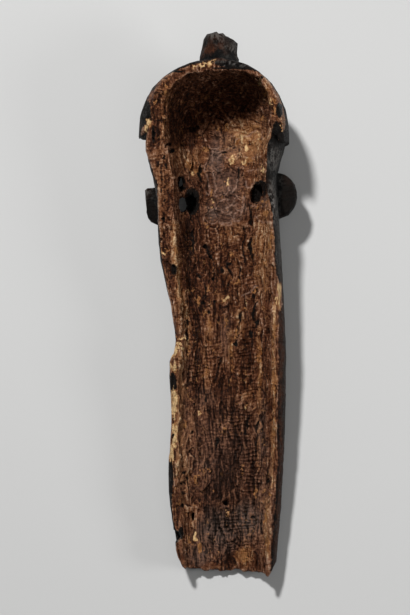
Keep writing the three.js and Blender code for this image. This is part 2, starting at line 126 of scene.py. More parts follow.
# The carving is worked in its own frame, in mm
carving = {
    "voxel": 0.00125,
    "triangles": 190000,
    "hollowMiddle": 3.0,
    "hollowReach": 575.0,  # above this the hood closes over the hollow
    "headHalf": 79,  # a round of this half width and depth runs inside the head's wall
    "headDepth": 118,
    "headSquareness": 2.4,
    "hairFoot": 548,
    "earFoot": 74,  # further out than this and below earTop is an ear
    "earTop": 556,
    "knobFoot": 670,
    "hairline": 600,
    "hairlineDrop": 36,  # towards the temples
    "hairRidges": 38,
    "hairDepth": 0.55,
    "knobLumps": (1.5, 0.6),  # broad and fine
    "softenInside": 1.0,
    "softenRelief": 0.16,
    "softenPasses": 26,
    "scoopSize": (19, 15, 19),  # broad adze scoops, strongest behind the face
    "scoopDepth": 1.1,
    "facetDepth": 1.7,  # how much deeper than listed the facets behind the face are
    "flatSize": (13, 19, 13),  # flats left by the adze, each with its own slope
    "flatSlope": 4.8,
    "chipSize": (4.6, 28, 4.6),  # long splinters
    "chipSlope": 2.4,
    "fibreSize": (3.4, 30, 3.4),
    "fibreDepth": 0.95,
    "terraceSize": (12, 95, 12),  # long split strips with sharp edges
    "terraceDepth": 2.7,
    "crumbleSize": (4.4, 9, 4.4),
    "crumbleDepth": 0.45,
    "raggedSize": (5, 8, 5),
    "raggedRim": 1.1,
    "outsideCuts": (9, 8, 9),
    "outsideDepth": 0.5,
    "crustSize": 2.8,
    "crustDepth": 0.32,
}


def numbersOf(piece, what):
    flat = np.empty(len(piece.data.vertices) * 3, np.float32)
    piece.data.vertices.foreach_get(what, flat)
    return flat.reshape(-1, 3).astype(float)


def step(low, high, value):
    part = np.clip((value - low) / (high - low), 0, 1)
    return part * part * (3 - 2 * part)


def roughness(points, seed, octaves=1):  # smooth random field, about -1 to 1, one lump per unit
    lattice = np.random.default_rng(seed).random((48, 48, 48))
    total = np.zeros(len(points))
    for octave in range(octaves):
        scaled = points * 2.03**octave + 11.7 * octave
        cell = np.floor(scaled).astype(int)
        part = scaled - cell
        part = part * part * (3 - 2 * part)
        for corner in np.ndindex(2, 2, 2):
            weight = np.prod(np.where(np.array(corner), part, 1 - part), axis=1)
            i, j, k = ((cell + corner) % 48).T
            total += weight * (2 * lattice[i, j, k] - 1) * 0.55**octave
    return total * 1.5


def cuts(points, seed):  # one random cut per unit cell: how far its middle is, and the slope that it leaves
    rng = np.random.default_rng(seed)
    dots, slopes = rng.random((24, 24, 24, 3)), rng.random((24, 24, 24, 3)) - 0.5
    cell = np.floor(points).astype(int)
    nearest, slope = np.full(len(points), 9.0), np.zeros(len(points))
    for offset in np.ndindex(3, 3, 3):
        other = cell + offset - 1
        i, j, k = (other % 24).T
        way = points - other - dots[i, j, k]
        distance = (way**2).sum(1)
        slope = np.where(distance < nearest, (way * slopes[i, j, k]).sum(1), slope)
        nearest = np.minimum(nearest, distance)
    return np.minimum(nearest, 0.7) / 0.7 - 0.5, slope


def terraces(value, levels):  # turns a smooth field into flats with short steep edges between them
    scaled = value * levels
    base = np.floor(scaled)
    return (base + step(0.38, 0.62, scaled - base)) / levels


def toLine(px, py, line):  # distance to a line of points, in pixels
    best = np.full(len(px), 1e3)
    for (ax, ay), (bx, by) in zip(line, line[1:]):
        dx, dy = bx - ax, by - ay
        part = np.clip(((px - ax) * dx + (py - ay) * dy) / (dx * dx + dy * dy), 0, 1)
        best = np.minimum(best, np.hypot(px - ax - part * dx, py - ay - part * dy))
    return best


def oval(px, py, a, b, wide, high):  # 1 in the middle, half at the oval's edge, 0 well outside
    return np.clip(1 - 0.5 * ((px - a) / wide) ** 2 - 0.5 * ((py - b) / high) ** 2, 0, 1)


def survey(piece):  # where each vertex is, what it belongs to and where the camera sees it
    world, normal = numbersOf(piece, "co"), numbersOf(piece, "normal")
    turn = np.array(toWorld.to_3x3())
    local = (world - np.array(shot["origin"])) @ turn
    facing = normal @ turn
    fromEye = local - np.array(eye)
    scale = shot["distance"] * 1000 / shot["pixel"] / -(fromEye @ np.array(camBack))
    px = shot["pixelAtMiddle"] + (fromEye @ np.array(camRight)) * scale
    targetUp = shot["target"][1] * 1000 / shot["pixel"]
    py = shot["pixelAtBeardEnd"] - targetUp - (fromEye @ np.array(camUp)) * scale
    local = local * 1000
    x, y, z = local.T
    middle = np.column_stack([x, y, z])
    middle[:, 0] = carving["hollowMiddle"]
    middle[:, 1] = np.minimum(y, carving["hollowReach"])
    middle[:, 2] = 14  # a little above the rim
    inward = middle - local
    inward /= np.linalg.norm(inward, axis=1)[:, None]
    towards = (facing * inward).sum(1)
    across, down = np.abs(x) / carving["headHalf"], np.maximum(-z, 0) / carving["headDepth"]
    beyondWall = across ** carving["headSquareness"] + down ** carving["headSquareness"] > 1
    underHair = beyondWall & (y > carving["hairFoot"]) & (z < -12)
    onEar = (np.abs(x) > carving["earFoot"]) & (y < carving["earTop"])
    onHead = (y < carving["knobFoot"] - 2) & ~onEar & ~underHair
    inside = step(0.0, 0.2, towards) * onHead
    rim = step(0.55, 0.8, facing[:, 2]) * step(-16, -8, z) * onHead
    tree = BVHTree.FromObject(piece, bpy.context.evaluated_depsgraph_get())
    lens = toWorld @ eye
    seen = np.zeros(len(world))
    starts = world + normal * 0.0008
    for i in np.nonzero(facing @ np.array(camBack) > 0.02)[0]:
        start = Vector(starts[i])
        if tree.ray_cast(start, lens - start)[0] is None:
            seen[i] = 1
    return {"x": x, "y": y, "z": z, "local": local, "facing": facing, "normal": normal, "world": world,
            "px": px, "py": py, "inside": inside, "rim": rim, "seen": seen}


def shaken(at):  # the picture places, moved a little so that marks get ragged edges
    local, px, py = at["local"], at["px"], at["py"]
    ragX, ragY = px + 0.8 * roughness(local / 5, 51, 2), py + 1.3 * roughness(local / 6, 52, 2)
    bentX, bentY = px + 1.6 * roughness(local / 14, 53, 2), py + 1.6 * roughness(local / 14, 54, 2)
    return ragX, ragY, bentX, bentY, roughness(local / (7, 12, 7), 17, 2)


def crackWidth(half, uneven):
    return half * (0.75 + 0.9 * uneven).clip(0.2)


# Marks read off the picture, in its pixels. An oval is its middle, half width and half height.
cracks = [  # points, half width, depth in mm
    ([(250, 205), (252, 225), (251, 246), (254, 264)], 1.0, 3.2),
    ([(190, 213), (194, 228), (193, 252)], 1.1, 3.0),
    ([(206, 247), (211, 258), (214, 268), (213, 280)], 1.3, 3.4),
    ([(199, 274), (205, 288), (203, 303)], 1.1, 2.6),
    ([(244, 228), (243, 246), (246, 262)], 0.7, 1.4),
    ([(253, 462), (253, 484)], 1.0, 3.2),
    ([(268, 466), (267, 484)], 0.9, 2.2),
    ([(249, 418), (247, 428), (245, 436)], 1.0, 2.4),
    ([(242, 312), (239, 326), (236, 342)], 0.8, 1.6),
    ([(224, 346), (221, 360), (217, 376)], 0.7, 1.3),
    ([(257, 300), (254, 318), (255, 336)], 0.8, 1.6),
    ([(227, 262), (231, 275), (226, 290)], 0.9, 1.8),
    ([(187, 478), (189, 496)], 0.9, 1.8),
    ([(173, 460), (175, 478)], 0.9, 1.8),
    ([(215, 155), (221, 153), (228, 152)], 0.6, 1.0),
    ([(240, 152), (239.5, 163), (240, 177)], 0.6, 1.3),
    ([(222, 160), (216, 166), (214, 172), (203, 174)], 0.6, 1.0),
    ([(201, 162), (200, 174), (203, 184)], 0.8, 1.8),
    ([(231, 142), (232, 150)], 0.7, 1.4),
    ([(218, 205), (214, 209), (219, 219), (212, 223)], 0.5, 0.9),
    ([(235, 222), (243, 214), (246, 202)], 0.6, 1.0),
    ([(222, 194), (230, 196), (234, 192)], 0.5, 0.8),
    ([(209, 172), (208, 196)], 0.5, 0.8),
    ([(186, 300), (184, 322), (188, 340)], 0.9, 2.0),
    ([(240, 262), (239, 284), (236, 300)], 0.7, 1.3),
    ([(229, 380), (226, 402)], 0.6, 1.0),
    ([(203, 378), (206, 402)], 0.6, 1.0),
    ([(218, 438), (217, 456)], 0.6, 1.0),
    ([(262, 404), (257, 430), (256, 458)], 0.8, 1.6),
    ([(250, 550), (253, 565)], 0.7, 1.2),
]
pits = [  # last number is the depth in mm
    (157, 163, 1.3, 2.6, 4), (164, 157, 1, 2.2, 3.4), (166, 167, 0.9, 2.4, 3), (161, 180, 1.1, 1.6, 3),
    (161, 190, 1.1, 2, 3.4), (164, 201, 0.9, 1.4, 3), (164, 219, 1.3, 2.2, 4),
    (161, 240, 0.9, 1.2, 2.4), (174, 270, 2.2, 5, 4), (182, 506, 1.2, 2, 4), (183, 493, 1.3, 1.8, 4),
    (184, 472, 1.2, 1.6, 3), (253, 516, 1.6, 1, 2.6), (206, 247, 3, 1.4, 3.6),
    (201, 170, 1.8, 2.6, 3.4), (172, 151, 2.4, 1.8, 4), (236, 344, 1.5, 2.6, 3.4), (246, 432, 1, 2, 3),
    (251, 333, 2, 3, 2.4), (203, 303, 1.4, 1.6, 2.6), (229, 264, 2.8, 1.6, 3),
    (214, 280, 1.4, 1.2, 2.4), (192, 432, 1.2, 1.6, 2.6), (226, 503, 2.5, 2.4, 5),
    (268, 480, 1, 2.4, 3), (181, 484, 1, 1.3, 2.6), (184, 484, 0.8, 1.2, 2.4), (154, 134, 1.1, 7, 4.5),
    (168, 144, 1.2, 2, 5), (222, 270, 1.2, 3, 2), (253, 296, 1, 2, 2.2), (257, 323, 1.2, 2.6, 2),
    (215, 302, 1, 1.4, 2), (209, 312, 1.2, 1.2, 2), (188, 322, 1.4, 3, 2.2), (194, 404, 1, 1.2, 2),
    (173, 436, 1, 1.4, 2.4),
]
fresh = [  # pale broken wood
    (280, 292, 2.2, 7), (279, 301, 1.6, 3.4), (173, 354, 3.6, 5), (173.5, 367, 3, 5),
    (174, 405, 3.4, 15), (174.5, 436, 3, 12), (172, 452, 2.4, 9), (184, 338, 5, 1.5),
    (179, 347, 5, 2.6), (149, 123, 2.4, 4), (145, 129, 2, 3), (203, 65, 12, 1.3), (260, 83, 1.4, 3),
    (271, 101, 1.2, 2.4), (285, 103, 1.4, 3.4), (283, 126, 1.2, 4), (246, 147, 2.4, 2.6),
    (232, 160, 3, 3.2), (262, 170, 2.4, 3), (244, 162, 1.8, 2), (212, 203, 1.2, 2.2),
    (227, 183, 0.7, 5), (192, 175, 2.4, 1.4), (225, 299, 2.6, 1.8), (247, 302, 3, 0.8),
    (246, 406, 1.1, 2.2), (195, 537, 1.6, 3.6), (226, 511, 2, 0.7), (226, 496, 1.5, 0.7),
    (240, 137, 2, 1.6), (200, 413, 0.9, 3), (163, 253, 2, 1), (186, 290, 2.4, 0.8), (258, 139, 1, 2.2),
    (276, 300, 1, 3),
]
glints = [  # painted glints: small ochre splinters and worn crests, lighter where they catch the light
    (266, 93, 2.4, 5), (274, 112, 1.2, 8), (276, 102, 2, 2), (245, 163, 2, 2.2), (260, 139, 1.4, 3),
    (237, 142, 2.6, 2.8), (192, 291, 3.4, 1), (205, 312, 3, 1.2), (236, 283, 3.2, 1.6),
    (254, 291, 2, 2.2), (225, 429, 1.6, 2), (176, 252, 2, 2.6), (210, 325, 1.6, 7), (231, 350, 2, 7),
    (232, 369, 1.6, 5), (196, 478, 1.2, 5), (271, 160, 1.2, 5), (166, 90, 1.6, 9), (155, 100, 1.2, 4),
    (206, 225, 3, 1), (226, 127, 3, 2), (218, 128, 2.5, 1.5), (250, 130, 4, 1.2), (168, 250, 3, 1.5),
    (245, 310, 3, 1), (214, 352, 1, 4), (185, 212, 1.4, 3), (212, 192, 1.2, 4), (185, 424, 1.4, 6),
    (243, 470, 1.4, 6), (255, 492, 1.4, 6), (270, 492, 1.2, 5), (241, 433, 1.8, 1), (214, 491, 1.4, 1),
    (248, 160, 5, 2), (267, 201, 5, 2), (255, 126, 6, 2), (262, 118, 4, 3), (205, 150, 6, 1.5),
    (190, 165, 5, 3), (198, 172, 4, 2), (258, 206, 5, 1.5), (266, 214, 4, 3), (253, 250, 1, 12),
    (270, 240, 1.4, 12), (264, 262, 5, 1.2), (258, 275, 4, 1), (266, 288, 3, 1), (222, 246, 1.2, 4),
    (231, 252, 3, 1), (216, 292, 3, 1), (209, 288, 1, 4), (198, 300, 1, 5), (226, 322, 1, 6),
    (236, 334, 1.4, 6), (188, 352, 1, 8), (206, 370, 1, 8), (259, 352, 1.4, 12), (259, 382, 1.2, 8),
    (274, 330, 0.9, 20), (274, 380, 0.9, 24), (274, 430, 0.8, 22), (266, 520, 1.6, 12),
    (267, 545, 1.4, 10), (191, 512, 3, 1.4), (190, 540, 2, 5), (180, 500, 1, 4), (177, 488, 1, 3),
    (244, 556, 4, 8), (200, 548, 3, 4), (206, 470, 6, 1),
]
broad = {  # areas of a colour, last number is how strong it is. Some ochre areas also lighten walls that stay in shade (painted light), and some soot areas darken the shaded top of the hollow under the hood (painted shade)
    "ochre": [
        (262, 250, 8, 42, 0.7), (244, 556, 7, 10, 0.9), (246, 142, 22, 20, 0.95),
        (192, 162, 16, 12, 0.65), (258, 182, 6, 20, 0.4), (184, 470, 5, 44, 0.65),
        (209, 332, 4, 14, 0.6), (240, 318, 5, 14, 0.6), (166, 110, 6, 36, 0.5), (266, 90, 5, 14, 0.6),
        (162, 190, 9, 50, 0.35), (181, 310, 6, 26, 0.5), (208, 385, 5, 24, 0.3), (280, 115, 6, 22, 0.3),
        (162.5, 120, 2, 30, 0.7), (250, 124, 14, 7, 0.5), (232, 232, 12, 10, 0.45),
        (222, 298, 8, 7, 0.5), (192, 520, 6, 14, 0.4), (178, 156, 6, 14, 0.55), (248, 252, 4, 12, 0.5),
        (226, 276, 5, 10, 0.4), (248, 396, 4, 12, 0.5), (230, 128, 18, 6, 0.6),
    ],
    "soot": [
        (226, 562, 9, 10, 0.8), (226, 517, 11, 12, 0.8), (212, 100, 44, 14, 0.4),
        (178, 116, 16, 24, 0.9), (225, 484, 18, 16, 0.8), (226, 412, 16, 8, 0.7),
        (193, 222, 5, 12, 0.6), (254, 328, 2.5, 14, 0.5), (200, 305, 8, 14, 0.7),
        (217, 312, 9, 12, 0.6), (222, 530, 22, 24, 0.35), (160, 122, 8, 40, 0.65),
        (163, 215, 6, 50, 0.5), (210, 282, 14, 9, 0.4), (206, 262, 4, 20, 0.6), (214, 282, 4, 14, 0.5),
        (206, 505, 7, 30, 0.5), (222, 385, 8, 18, 0.45), (230, 462, 16, 12, 0.5),
        (238, 440, 10, 10, 0.45), (265, 400, 3, 60, 0.45), (188, 380, 2, 30, 0.4),
        (172, 275, 3, 8, 0.6), (199, 186, 5, 8, 0.5), (212, 550, 10, 8, 0.45), (180, 505, 6, 16, 0.45),
        (250, 545, 4, 14, 0.3), (238, 500, 12, 12, 0.5), (255, 470, 3, 26, 0.5), (252, 296, 5, 6, 0.5),
        (216, 400, 30, 6, 0.3), (154, 102, 9, 30, 0.7), (272, 100, 8, 18, 0.4), (157, 165, 8, 30, 0.35),
        (168, 210, 5, 40, 0.3), (164, 265, 4, 30, 0.35), (158, 86, 12, 11, 0.65),
        (222, 262, 22, 30, 0.25), (222, 405, 30, 28, 0.22), (163, 170, 5, 40, 0.3),
    ],
    "dust": [
        (200, 555, 12, 9, 0.7), (248, 520, 16, 20, 0.95), (222, 458, 34, 50, 0.32),
        (206, 463, 12, 4, 0.6), (213, 215, 7, 6, 0.8), (224, 210, 20, 13, 0.5), (216, 160, 7, 20, 0.75),
        (262, 432, 5, 34, 0.55), (206, 400, 10, 12, 0.35), (226, 186, 15, 16, 0.55),
        (218, 530, 22, 22, 0.85), (225, 330, 5, 20, 0.3), (232, 150, 12, 9, 0.5),
        (224, 137, 12, 6, 0.45), (215, 485, 10, 8, 0.35), (236, 448, 18, 10, 0.3),
        (267, 201, 6, 3.5, 0.9), (184, 430, 8, 70, 0.25), (262, 500, 12, 50, 0.3),
    ],
    # grey patina, and painted sheen where the black patina's tops and sides face the lamps
    "greyAndSheen": [
        (279, 225, 3.2, 42, 0.9), (275, 197, 6, 22, 1.0), (268, 201, 5, 5, 0.8), (274, 160, 6, 14, 0.8),
        (151, 192, 8, 7, 0.9), (216, 36, 10, 4, 0.6), (236, 50, 3, 9, 0.7), (226, 60, 14, 2.4, 0.5),
        (275, 184, 4, 10, 0.6), (281, 240, 2, 40, 0.5), (162, 74, 12, 3, 0.6), (250, 64, 12, 3, 0.5),
        (224, 48, 6, 6, 0.3), (141, 96, 3, 8, 0.4),
    ],
    "rust": [
        (281, 360, 4, 70, 0.6), (279, 450, 4, 60, 0.6), (277, 525, 4, 40, 0.7), (209, 54, 8, 7, 0.9),
        (216, 50, 10, 12, 0.5), (283, 300, 3, 20, 0.5), (171, 300, 3, 40, 0.5),
    ],
}
scoops = [  # last number is the depth in mm
    (212, 216, 8, 6.5, 2.8), (226, 219, 7, 6, 2.6), (236, 214, 6, 8, 2.6), (241, 203, 5.5, 9, 2.4),
    (224, 208, 7, 6, 2.4), (234, 199, 5, 7, 2.2), (213, 204, 6, 6, 2.2), (242, 190, 4.6, 9, 1.8),
    (217, 184, 4.4, 12, 2), (226, 181, 4.6, 13, 1.9), (234, 181, 4.2, 11, 1.8),
    (209, 183, 4.4, 12, 1.8), (249, 176, 5, 12, 1.4), (218, 161, 6, 10, 1.6), (231, 153, 7, 5, 1.5),
    (240, 163, 6, 6, 1.4), (203, 158, 6, 8, 1.4), (250, 152, 6, 8, 1.3), (214, 143, 8, 6, 1.2),
    (254, 134, 8, 6, 1.2), (233, 132, 8, 6, 1.2),
]
streaks = [  # strips along the wood: points, half width, how much more worn or, below 0, more sooted
    ([(174, 225), (176, 262), (180, 292), (187, 322), (188, 345)], 3.6, 0.85),
    ([(181, 355), (181, 400), (180, 440), (178, 475)], 3.6, 0.75),
    ([(188, 224), (190, 284)], 5.4, -1.0),
    ([(192, 296), (197, 325), (197, 396)], 4.0, -0.95),
    ([(231, 332), (232, 366)], 2.8, 0.85),
    ([(243, 346), (246, 360), (245, 388)], 6, -0.7),
    ([(258, 328), (259, 380), (258, 470)], 1.8, 0.75),
    ([(266, 312), (266, 480)], 2.6, -0.35),
    ([(274, 305), (274, 380), (272.5, 486)], 1.8, 0.9),
    ([(267, 500), (267, 540), (266.5, 554)], 2.8, 0.95),
    ([(251, 208), (252, 242)], 1.4, -0.7),
    ([(238, 250), (239, 300)], 3, 0.35),
    ([(222, 385), (221, 460)], 5, -0.3),
    ([(205, 350), (207, 395)], 2.6, 0.4),
    ([(190, 410), (189, 470)], 3, 0.3),
]
highlightThreads = [  # painted highlight: thin pale lit edges between the facets and along torn fibres
    [(212, 151), (217, 153), (222, 151), (228, 149)], [(236, 140), (243, 137), (249, 136), (256, 130)],
    [(203, 222), (205, 216), (209, 211), (216, 208)], [(220, 210), (228, 208), (233, 204), (236, 198)],
    [(222, 223), (229, 223), (234, 218), (236, 213)], [(240, 216), (243, 206), (244, 196)],
    [(214, 178), (216, 189), (213, 196)], [(207, 178), (209, 186), (211, 192)],
    [(229, 187), (230, 193)], [(228, 215), (232, 212)], [(221, 201), (226, 199), (229, 200)],
    [(238, 176), (236, 188), (232, 192)], [(212, 152), (212, 166), (213, 176)],
    [(218, 158), (221, 154)], [(203, 166), (206, 172), (207, 178)], [(255, 157), (262, 156)],
    [(247, 171), (254, 170), (262, 169)], [(263, 139), (262, 131)],
    [(252, 206), (258, 207), (266, 206)], [(255, 216), (262, 222), (270, 222)],
    [(241, 296), (251, 291), (256, 286)],
]
curls = [  # figure of fine ripples across the grain
    (246, 370, 12, 44), (226, 440, 18, 16), (212, 356, 10, 26), (236, 420, 20, 14), (250, 470, 12, 30),
    (195, 330, 8, 26), (232, 530, 24, 24), (196, 372, 8, 20), (185, 250, 8, 30),
]
leftEdge = [  # py, px: patina to the left of it
    (60, 100), (97, 100), (101, 149.5), (110, 151), (118, 151), (123, 147), (128, 142), (132, 139),
    (137, 139), (141, 140), (160, 149), (175, 154), (186, 157.5), (222, 158), (228, 159), (232, 160),
    (250, 161), (268, 163.5), (285, 167), (300, 169), (320, 173), (333, 176), (343, 176), (348, 172),
    (351, 100), (370, 100), (373, 174), (378, 176), (388, 176.5), (393, 172), (396, 100), (453, 100),
    (459, 172), (470, 173.5), (480, 173.5), (495, 172.5), (510, 172), (525, 174), (531, 176.5),
    (541, 178), (547, 100), (575, 100),
]
rightEdge = [  # py, px: patina to the right of it
    (60, 272), (84, 272), (90, 276), (96, 280.5), (100, 284), (104, 286.5), (118, 286), (133, 284),
    (136, 272), (142, 268), (150, 267), (160, 266.5), (180, 266), (190, 266), (198, 269), (205, 271),
    (215, 272.5), (230, 273.5), (245, 274.5), (260, 275), (275, 276), (286, 281), (290, 284),
    (304, 284), (308, 280), (316, 278.5), (340, 278.5), (360, 278.5), (400, 277.5), (440, 277),
    (460, 278), (480, 276.5), (500, 275.5), (520, 274), (540, 272.5), (560, 271.5), (575, 271),
]
topEdge = [  # px, py: patina above it
    (150, 88), (160, 79), (170, 73.5), (180, 69), (190, 65.5), (200, 63), (214, 63.5), (220, 66.5),
    (236, 68.5), (250, 70), (258, 72), (266, 78), (272, 83.5), (280, 93),
]
blackenedAndShadowed = [  # burnt or sooted black, and painted shadow in deep holes and under overhangs
    (279.5, 110, 3.6, 8), (277.5, 134, 6, 13), (287, 141, 3, 12), (261, 185, 6.5, 4.5),
    (256.5, 195, 4.6, 9.5), (263, 191, 4.5, 6), (192, 201, 8, 13.5), (182, 184, 3.6, 8),
    (153, 134, 1.4, 9), (246, 68.5, 12, 1.2), (226, 68.2, 14, 1.1), (176, 71.5, 9, 1.1),
    (163, 78.5, 4, 1.2), (154, 90, 1.2, 5), (262, 76, 1.5, 3), (271, 174.5, 5.5, 4), (289, 203, 9, 20),
    (150, 211, 8, 11), (144, 113, 4, 13), (226, 503, 2, 2), (181, 533, 2.6, 6),
]

bpy.ops.object.select_all(action="DESELECT")
mask = bpy.data.objects.new("wornMask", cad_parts["carved_mask"].data.copy())
scene.collection.objects.link(mask)
mask.data.materials.clear()
bpy.context.view_layer.objects.active = mask
mask.select_set(True)
bpy.ops.object.mode_set(mode="EDIT")
bpy.ops.mesh.select_all(action="SELECT")
bpy.ops.mesh.remove_doubles(threshold=0.00002)
bpy.ops.object.mode_set(mode="OBJECT")


def change(kind, **values):
    modifier = mask.modifiers.new(kind, kind)
    for key, value in values.items():
        setattr(modifier, key, value)
    bpy.ops.object.modifier_apply(modifier=modifier.name)


change("REMESH", mode="VOXEL", voxel_size=carving["voxel"])
print("remeshed:", len(mask.data.vertices), "vertices")

# Soften the flat faces into adzed curves, least where the face and beard are carved in relief
at = survey(mask)
inRelief = (1 - at["inside"]) * step(-20, -34, at["z"])
amount = carving["softenInside"] + (carving["softenRelief"] - carving["softenInside"]) * inRelief
group = mask.vertex_groups.new(name="soften")
tenths = np.round(amount * 10).astype(int)
for tenth in np.unique(tenths):
    group.add(np.nonzero(tenths == tenth)[0].tolist(), tenth / 10, "REPLACE")
change("SMOOTH", factor=0.6, iterations=carving["softenPasses"], vertex_group="soften")
print("softened")

# Carve the tool marks, cracks and holes along the surface's own direction
at = survey(mask)
local, inside, rim, seen, px, py = (at[key] for key in ("local", "inside", "rim", "seen", "px", "py"))
ragX, ragY, bentX, bentY, uneven = shaken(at)
outside = (1 - inside) * (1 - rim)
trough = step(470, 380, at["y"])
warp = np.column_stack([roughness(local / (16, 40, 16), seed, 2) for seed in (61, 62, 63)])
bent = local + warp * (3.2, 6, 3.2)
swaying = np.column_stack([roughness(local / (34, 70, 34), seed) for seed in (65, 66, 67)])
leaning = local + swaying * (5, 9, 5)
fibre = 1 - np.abs(roughness(bent / carving["fibreSize"], 7, 2)) * 1.6
calm = np.zeros(len(local))
carved = np.zeros(len(local))
for a, b, wide, high, depth in scoops:
    dip = np.clip(2 * oval(bentX, bentY, a, b, wide, high) - 1, 0, 1)
    carved = np.maximum(carved, seen * carving["facetDepth"] * depth * dip)
    calm = np.maximum(calm, seen * step(0, 0.2, dip))
lively = inside * (1 - 0.8 * calm)
lift = inside * carving["scoopDepth"] * (1 - 0.6 * trough) * cuts(bent / carving["scoopSize"], 3)[0]
lift -= carved
lift += lively * carving["flatSlope"] * cuts(leaning / carving["flatSize"] + 7, 5)[1]
lift += lively * carving["chipSlope"] * cuts(leaning / carving["chipSize"] + 3, 6)[1]
lift += (inside + rim).clip(0, 1) * carving["fibreDepth"] * (fibre - 0.5) * (0.5 + 0.5 * trough)
terrace = terraces(roughness(bent / carving["terraceSize"], 8, 2), 3)
lift += inside * carving["terraceDepth"] * (0.35 + 0.65 * trough) * terrace
crumble = 0.55 + step(0.0, 0.5, roughness(local / (26, 46, 26), 31, 2))
crumble = (inside + 0.6 * rim).clip(0, 1) * carving["crumbleDepth"] * crumble * (1 - 0.75 * calm)
lift += crumble * roughness(bent / carving["crumbleSize"], 32, 3)
edge = rim * step(-12, -3, at["z"])
lift += edge * carving["raggedRim"] * roughness(local / carving["raggedSize"], 9, 2)
lift += outside * carving["outsideDepth"] * cuts(local / carving["outsideCuts"], 11)[0]
lift += outside * carving["crustDepth"] * roughness(local / carving["crustSize"], 13, 2)
for line, half, depth in cracks:
    width = crackWidth(half, uneven)
    lift -= seen * depth * np.clip(1.3 - toLine(ragX + 1.1 * uneven, py, line) / (width * 1.5), 0, 1)
for a, b, wide, high, depth in pits:
    lift -= seen * depth * step(0.3, 0.7, oval(ragX, ragY, a, b, wide, high))
for a, b, wide, high in fresh + glints:
    lift += seen * 0.9 * step(0.4, 0.9, oval(ragX, ragY, a, b, wide, high)) * fibre
# hair cap: fine ridges that run from the hairline up to the knob
knobFoot = carving["knobFoot"]
hairline = carving["hairline"] - carving["hairlineDrop"] * (np.abs(at["x"]) / 75) ** 1.6
hair = outside * step(0, 8, at["y"] - hairline) * step(knobFoot + 6, knobFoot - 2, at["y"])
bearing = np.arctan2(at["x"] - carving["hollowMiddle"], -at["z"] - 40)
lift += hair * carving["hairDepth"] * (np.abs(np.sin(bearing * carving["hairRidges"])) - 0.6)
# knob: rough, worn lumps
knob = step(knobFoot - 6, knobFoot + 6, at["y"])
broadLump, fineLump = carving["knobLumps"]
lift += knob * (broadLump * roughness(local / 8, 15, 2) + fineLump * roughness(local / 3, 16, 2))
moved = at["world"] + at["normal"] * (lift / 1000)[:, None]
mask.data.vertices.foreach_set("co", moved.astype(np.float32).ravel())
mask.data.update()
change("SMOOTH", factor=0.3, iterations=1)
spare = mask.vertex_groups.new(name="spare")
spare.add(range(len(local)), 0.86, "REPLACE")
spare.add(np.nonzero(inside + rim < 0.5)[0].tolist(), 1, "REPLACE")
count = sum(len(face.vertices) - 2 for face in mask.data.polygons)
change("DECIMATE", ratio=min(1, carving["triangles"] / count), use_collapse_triangulate=True,
       vertex_group="spare", vertex_group_factor=1)
mask.vertex_groups.clear()
bpy.ops.object.shade_smooth()
print("carved:", len(mask.data.polygons), "triangles")

# Paint the shares that the wood's material reads
at = survey(mask)
local, inside, rim, seen, px, py = (at[key] for key in ("local", "inside", "rim", "seen", "px", "py"))
ends = np.empty(len(mask.data.edges) * 2, np.int32)
mask.data.edges.foreach_get("vertices", ends)
first, second = ends[::2], ends[1::2]
near = np.bincount(ends, minlength=len(local))


def spread(values, passes):  # each vertex takes the mean of its neighbours
    for _ in range(passes):
        total = np.bincount(first, values[second], len(values))
        total += np.bincount(second, values[first], len(values))
        values = total / near
    return values


def hollowness(passes):  # mm that the surface lies below its surroundings
    mean = np.column_stack([spread(local[:, axis], passes) for axis in range(3)])
    return ((mean - local) * at["facing"]).sum(1)


narrow, broadly = hollowness(2), hollowness(10)
ragX, ragY, bentX, bentY, uneven = shaken(at)
tornX, tornY = px + 1.5 * roughness(local / 4.4, 56, 3), py + 2.2 * roughness(local / 5.4, 57, 3)
swayX, swayY = px + 2.6 * roughness(local / 12, 53, 2), py + 2.6 * roughness(local / 12, 54, 2)
# painted shade: cracks and pits are painted darker than the wood around them
crack = np.zeros(len(local))
for line, half, depth in cracks:
    width = crackWidth(half, uneven)
    crack = np.maximum(crack, seen * np.clip(1 - 0.5 * toLine(ragX + 1.1 * uneven, py, line) / width, 0, 1))
for a, b, wide, high, depth in pits:
    crack = np.maximum(crack, seen * oval(ragX, ragY, a, b, 1.3 * wide, 1.2 * high))


def patches(ovals, x, y):  # the strongest of many ovals, on what the camera sees
    best = np.zeros(len(local))
    for a, b, wide, high, *strength in ovals:
        best = np.maximum(best, seen * oval(x, y, a, b, wide, high) * (strength[0] if strength else 1))
    return best


paint = {kind: patches(ovals, swayX, swayY) for kind, ovals in broad.items()}
for line, half, strength in streaks:
    kind = "ochre" if strength > 0 else "soot"
    share = np.clip(1.15 - 0.65 * toLine(px + 1.2 * uneven, py, line) / half, 0, 1)
    paint[kind] = np.maximum(paint[kind], seen * abs(strength) * share)
deepest, runnerUp, litLowerRim, shadedUpperRim = (np.zeros(len(local)) for _ in range(4))
for a, b, wide, high, depth in scoops:
    bowl = 2 * oval(bentX, bentY, a, b, wide, high) - 1
    dip = seen * depth * np.clip(bowl, -0.2, 1)
    runnerUp = np.maximum(runnerUp, np.minimum(dip, deepest))
    deepest = np.maximum(deepest, dip)
    rimOfBowl = step(-0.05, 0.05, bowl) * step(0.26, 0.1, bowl)
    litLowerRim = np.maximum(litLowerRim, rimOfBowl * step(0.2, 0.7, (bentY - b) / high))
    shadedUpperRim = np.maximum(shadedUpperRim, rimOfBowl * step(0.0, 0.5, (b - bentY) / high))
